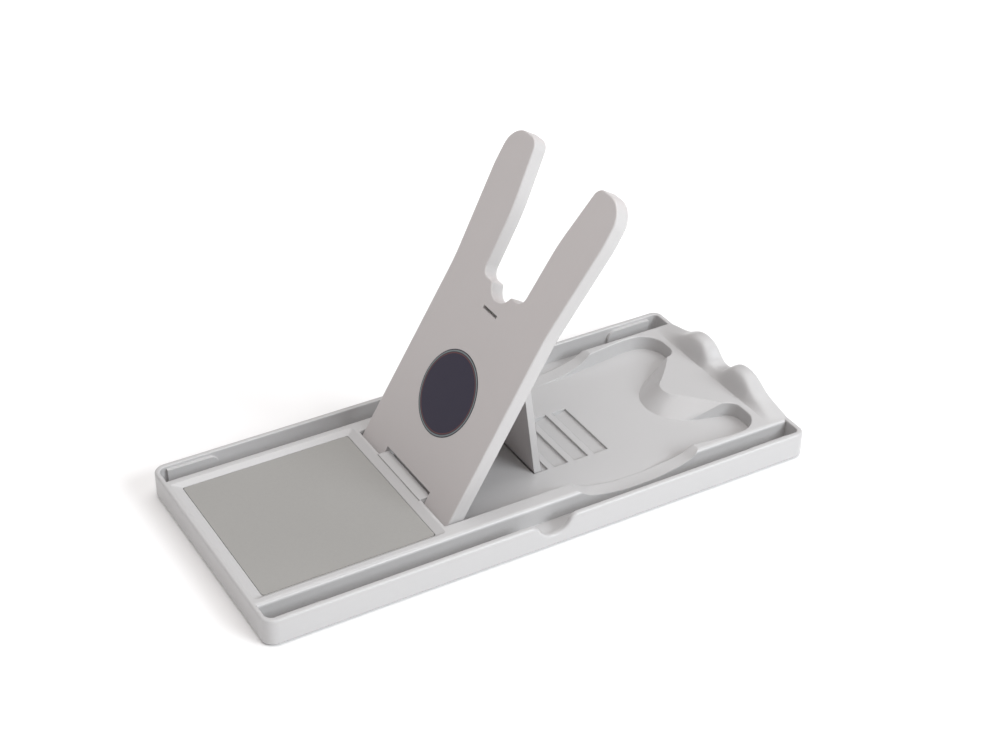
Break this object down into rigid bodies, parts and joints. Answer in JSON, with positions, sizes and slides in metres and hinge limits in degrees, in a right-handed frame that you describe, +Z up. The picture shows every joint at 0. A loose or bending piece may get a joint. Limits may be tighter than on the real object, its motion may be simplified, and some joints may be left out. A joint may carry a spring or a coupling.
{
  "type": "hot glue gun stand",
  "caption": "Fold-flat tabletop stand for a hot glue gun: shallow tray with a drip mat and stick channels, a hinged forked rest plate and a prop strut that drops into floor slots.",
  "frame": {"origin": "on the table under the middle of the tray", "axes": "+X along the tray from the mat end to the wavy end, +Y across towards the back long wall, +Z up"},
  "size_m": [0.292, 0.1318, 0.1593],
  "materials": {
    "tray_plastic": "satin moulded",
    "cover_plastic": "satin moulded",
    "plate_plastic": "satin moulded",
    "mat_silicone": "smooth silicone",
    "badge_print": "printed label, bare",
    "pin_steel": "ground",
    "screw_steel": "plated",
    "foot_rubber": "soft"
  },
  "bodies": {
    "base": {"tray": "tray_plastic", "base_cover": "cover_plastic", "cover_screws": "screw_steel", "foot_front_left": "foot_rubber", "foot_front_right": "foot_rubber", "foot_back_left": "foot_rubber", "foot_back_right": "foot_rubber", "drip_mat": "mat_silicone"},
    "plate": {"rest_plate": "plate_plastic", "hinge_pin": "pin_steel", "strut_pin": "pin_steel", "badge": "badge_print"},
    "strut": {"prop_strut": "plate_plastic"}
  },
  "joints": [
    {"name": "plate_hinge", "type": "hinge", "parent": "base", "child": "plate", "pos_m": [-0.04105, 0, 0.0108], "axis": [0, -1, 0], "range_deg": [0, 35.8]},
    {"name": "strut_hinge", "type": "hinge", "parent": "plate", "child": "strut", "pos_m": [0.00768, 0, 0.0906], "axis": [0, -1, 0], "range_deg": [-38.27, 0]}
  ],
  "couplings": [
    {"joint": "strut_hinge", "follows": "plate_hinge", "ratio": -1.069}
  ]
}
